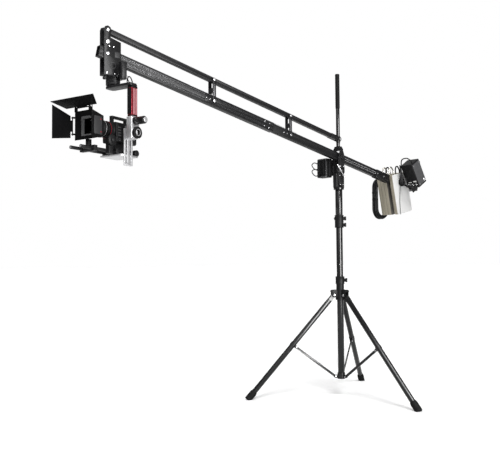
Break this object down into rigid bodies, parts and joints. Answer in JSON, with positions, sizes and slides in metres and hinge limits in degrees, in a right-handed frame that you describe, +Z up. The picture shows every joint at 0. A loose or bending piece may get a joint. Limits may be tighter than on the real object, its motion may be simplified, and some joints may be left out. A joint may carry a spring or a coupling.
{
  "type": "camera jib crane",
  "caption": "Camera jib crane: folding tripod stand, swivelling yoke, counterweighted parallelogram arm with control box, and a remote pan and tilt head carrying a camera rig.",
  "frame": {"origin": "middle of the underside of the whole crane's box, on the floor", "axes": "+Z up, -X towards the camera end of the arm, +X towards the weights, +Y away from the viewer"},
  "size_m": [2.5104, 0.8924, 1.907],
  "materials": {
    "stand_black": "black powder coat, satin",
    "clamp_plastic": "moulded black nylon",
    "foot_rubber": "matte",
    "black_anodised": "black anodised, satin",
    "grey_anodised": "dark grey anodised",
    "silver": "clear anodised",
    "bright_steel": "bright",
    "weight_steel": "zinc plated, dull",
    "red_anodised": "red anodised",
    "grip_rubber": "matte",
    "black_plastic": "matte",
    "cable_black": "satin"
  },
  "bodies": {
    "stand": {"centre_column": "stand_black", "bottom_hub": "stand_black"},
    "carriage": {"leg_bracket": "clamp_plastic", "lower_collar": "clamp_plastic"},
    "lower_knob": {"lower_knob": "clamp_plastic"},
    "leg_1": {"leg_1": "stand_black", "foot_1": "foot_rubber"},
    "leg_2": {"leg_2": "stand_black", "foot_2": "foot_rubber"},
    "leg_3": {"leg_3": "stand_black", "foot_3": "foot_rubber"},
    "brace_1": {"brace_1": "stand_black"},
    "brace_2": {"brace_2": "stand_black"},
    "brace_3": {"brace_3": "stand_black"},
    "mast": {"mast_sleeve": "stand_black", "upper_collar": "clamp_plastic"},
    "upper_knob_1": {"upper_knob_1": "clamp_plastic"},
    "upper_knob_2": {"upper_knob_2": "clamp_plastic"},
    "yoke": {"yoke_block": "black_anodised", "yoke_cheek_near": "black_anodised", "yoke_cheek_far": "black_anodised", "pole_bracket": "black_anodised", "pivot_shaft": "black_anodised", "upright_pole": "black_anodised", "pole_grip": "grip_rubber", "power_pack": "black_plastic", "power_leads": "cable_black"},
    "tilt_lever": {"tilt_lock_lever": "bright_steel"},
    "beam": {"beam_rear": "black_anodised", "beam_front": "black_anodised", "boom_end_fitting": "black_anodised", "weight_bar": "bright_steel", "weight_1": "weight_steel", "weight_2": "weight_steel", "weight_3": "weight_steel", "weight_4": "weight_steel", "cable_hank": "cable_black", "control_box": "black_plastic"},
    "weight_nut": {"weight_nut": "clamp_plastic"},
    "control_stick": {"control_stick": "black_plastic"},
    "speed_knob": {"speed_knob": "black_plastic"},
    "upper_rod": {"upper_rod": "black_anodised"},
    "link_1": {"link_1": "grey_anodised"},
    "link_2": {"link_2": "grey_anodised"},
    "head_mount": {"front_plates": "grey_anodised", "pan_base": "black_anodised"},
    "head": {"head_arm": "black_anodised", "side_column": "red_anodised", "tilt_gearbox": "silver", "tilt_motor": "black_plastic", "head_lead": "cable_black"},
    "camera": {"camera_cradle": "silver", "rod_base": "black_anodised", "camera_body": "black_plastic", "lens": "black_plastic", "matte_box": "black_plastic"},
    "focus_wheel": {"focus_wheel": "black_plastic"},
    "top_flag": {"top_flag": "black_plastic"},
    "side_flag_near": {"side_flag_near": "black_plastic"},
    "side_flag_far": {"side_flag_far": "black_plastic"}
  },
  "joints": [
    {"name": "leg_fold", "type": "slide", "parent": "stand", "child": "carriage", "axis": [0, 0, 1], "range_m": [0, 0.19369]},
    {"name": "leg_1_swing", "type": "hinge", "parent": "carriage", "child": "leg_1", "pos_m": [0.58557, 0.14481, 0.59], "axis": [-0.4602, 0.8878, 0], "range_deg": [0, 38.23]},
    {"name": "brace_1_swing", "type": "hinge", "parent": "leg_1", "child": "brace_1", "pos_m": [0.78848, 0.24999, 0.29125], "axis": [-0.4602, 0.8878, 0], "range_deg": [-91.45, 0]},
    {"name": "leg_2_swing", "type": "hinge", "parent": "carriage", "child": "leg_2", "pos_m": [0.51636, 0.14796, 0.59], "axis": [-0.5388, -0.8425, 0], "range_deg": [0, 38.23]},
    {"name": "brace_2_swing", "type": "hinge", "parent": "leg_2", "child": "brace_2", "pos_m": [0.32382, 0.27109, 0.29125], "axis": [-0.5388, -0.8425, 0], "range_deg": [-91.45, 0]},
    {"name": "leg_3_swing", "type": "hinge", "parent": "carriage", "child": "leg_3", "pos_m": [0.54824, 0.08644, 0.59], "axis": [0.999, -0.0454, 0], "range_deg": [0, 38.23]},
    {"name": "brace_3_swing", "type": "hinge", "parent": "leg_3", "child": "brace_3", "pos_m": [0.53787, -0.14187, 0.29125], "axis": [0.999, -0.0454, 0], "range_deg": [-91.45, 0]},
    {"name": "lower_knob_turn", "type": "hinge", "parent": "carriage", "child": "lower_knob", "pos_m": [0.55006, 0.1264, 0.6775], "axis": [0.6561, -0.7547, 0], "continuous": true},
    {"name": "mast_height", "type": "slide", "parent": "stand", "child": "mast", "axis": [0, 0, 1], "range_m": [-0.09, 0]},
    {"name": "upper_knob_1_turn", "type": "hinge", "parent": "mast", "child": "upper_knob_1", "pos_m": [0.55006, 0.1264, 1.042], "axis": [0.6561, -0.7547, 0], "continuous": true},
    {"name": "upper_knob_2_turn", "type": "hinge", "parent": "mast", "child": "upper_knob_2", "pos_m": [0.55006, 0.1264, 1.004], "axis": [0.6561, -0.7547, 0], "continuous": true},
    {"name": "pan", "type": "hinge", "parent": "mast", "child": "yoke", "pos_m": [0.55006, 0.1264, 1.25], "axis": [0, 0, 1], "continuous": true},
    {"name": "tilt_lock", "type": "hinge", "parent": "yoke", "child": "tilt_lever", "pos_m": [0.53306, 0.0904, 1.323], "axis": [0, 1, 0], "range_deg": [-35, 35]},
    {"name": "boom_tilt", "type": "hinge", "parent": "yoke", "child": "beam", "pos_m": [0.55006, 0.1264, 1.407], "axis": [0, 1, 0], "range_deg": [-41.7, 19.7]},
    {"name": "weight_nut_turn", "type": "hinge", "parent": "beam", "child": "weight_nut", "pos_m": [1.10919, 0.1264, 1.29121], "axis": [0, 1, 0], "continuous": true},
    {"name": "stick_tilt", "type": "hinge", "parent": "beam", "child": "control_stick", "pos_m": [1.17525, 0.0094, 1.40719], "axis": [0, 1, 0], "range_deg": [-20, 20], "stiffness_Nm_per_rad": 0.2},
    {"name": "speed_turn", "type": "hinge", "parent": "beam", "child": "speed_knob", "pos_m": [1.22334, -0.0046, 1.32174], "axis": [0.8545, 0, 0.5195], "range_deg": [-150, 150]},
    {"name": "rod_tilt", "type": "hinge", "parent": "yoke", "child": "upper_rod", "pos_m": [0.55006, 0.1264, 1.515], "axis": [0, 1, 0], "range_deg": [-41.7, 19.7]},
    {"name": "link_1_plumb", "type": "hinge", "parent": "beam", "child": "link_1", "pos_m": [0.13584, 0.1264, 1.49278], "axis": [0, 1, 0], "range_deg": [-19.7, 41.7]},
    {"name": "link_2_plumb", "type": "hinge", "parent": "beam", "child": "link_2", "pos_m": [-0.40664, 0.1264, 1.60512], "axis": [0, 1, 0], "range_deg": [-19.7, 41.7]},
    {"name": "head_plumb", "type": "hinge", "parent": "beam", "child": "head_mount", "pos_m": [-1.0167, 0.1264, 1.73146], "axis": [0, 1, 0], "range_deg": [-19.7, 41.7]},
    {"name": "head_pan", "type": "hinge", "parent": "head_mount", "child": "head", "pos_m": [-0.9787, 0.1264, 1.59116], "axis": [0, 0, 1], "continuous": true},
    {"name": "camera_tilt", "type": "hinge", "parent": "head", "child": "camera", "pos_m": [-0.94209, 0.04952, 1.36916], "axis": [-0.2756, 0.9613, 0], "range_deg": [-60, 30]},
    {"name": "focus_turn", "type": "hinge", "parent": "camera", "child": "focus_wheel", "pos_m": [-1.02479, 0.05493, 1.33346], "axis": [-0.2756, 0.9613, 0], "range_deg": [-150, 150]},
    {"name": "top_flag_swing", "type": "hinge", "parent": "camera", "child": "top_flag", "pos_m": [-1.15653, 0.07541, 1.46216], "axis": [-0.2756, 0.9613, 0], "range_deg": [-8, 60]},
    {"name": "near_flag_swing", "type": "hinge", "parent": "camera", "child": "side_flag_near", "pos_m": [-1.14096, 0.01746, 1.38716], "axis": [0, 0, 1], "range_deg": [-78, 40]},
    {"name": "far_flag_swing", "type": "hinge", "parent": "camera", "child": "side_flag_far", "pos_m": [-1.17403, 0.13281, 1.38716], "axis": [0, 0, -1], "range_deg": [-78, 40]}
  ],
  "couplings": [
    {"joint": "leg_1_swing", "follows": "leg_fold", "rad_per_m": 3.4446},
    {"joint": "brace_1_swing", "follows": "leg_fold", "rad_per_m": -8.24},
    {"joint": "leg_2_swing", "follows": "leg_fold", "rad_per_m": 3.4446},
    {"joint": "brace_2_swing", "follows": "leg_fold", "rad_per_m": -8.24},
    {"joint": "leg_3_swing", "follows": "leg_fold", "rad_per_m": 3.4446},
    {"joint": "brace_3_swing", "follows": "leg_fold", "rad_per_m": -8.24},
    {"joint": "rod_tilt", "follows": "boom_tilt", "ratio": 1},
    {"joint": "link_1_plumb", "follows": "boom_tilt", "ratio": -1},
    {"joint": "link_2_plumb", "follows": "boom_tilt", "ratio": -1},
    {"joint": "head_plumb", "follows": "boom_tilt", "ratio": -1}
  ]
}
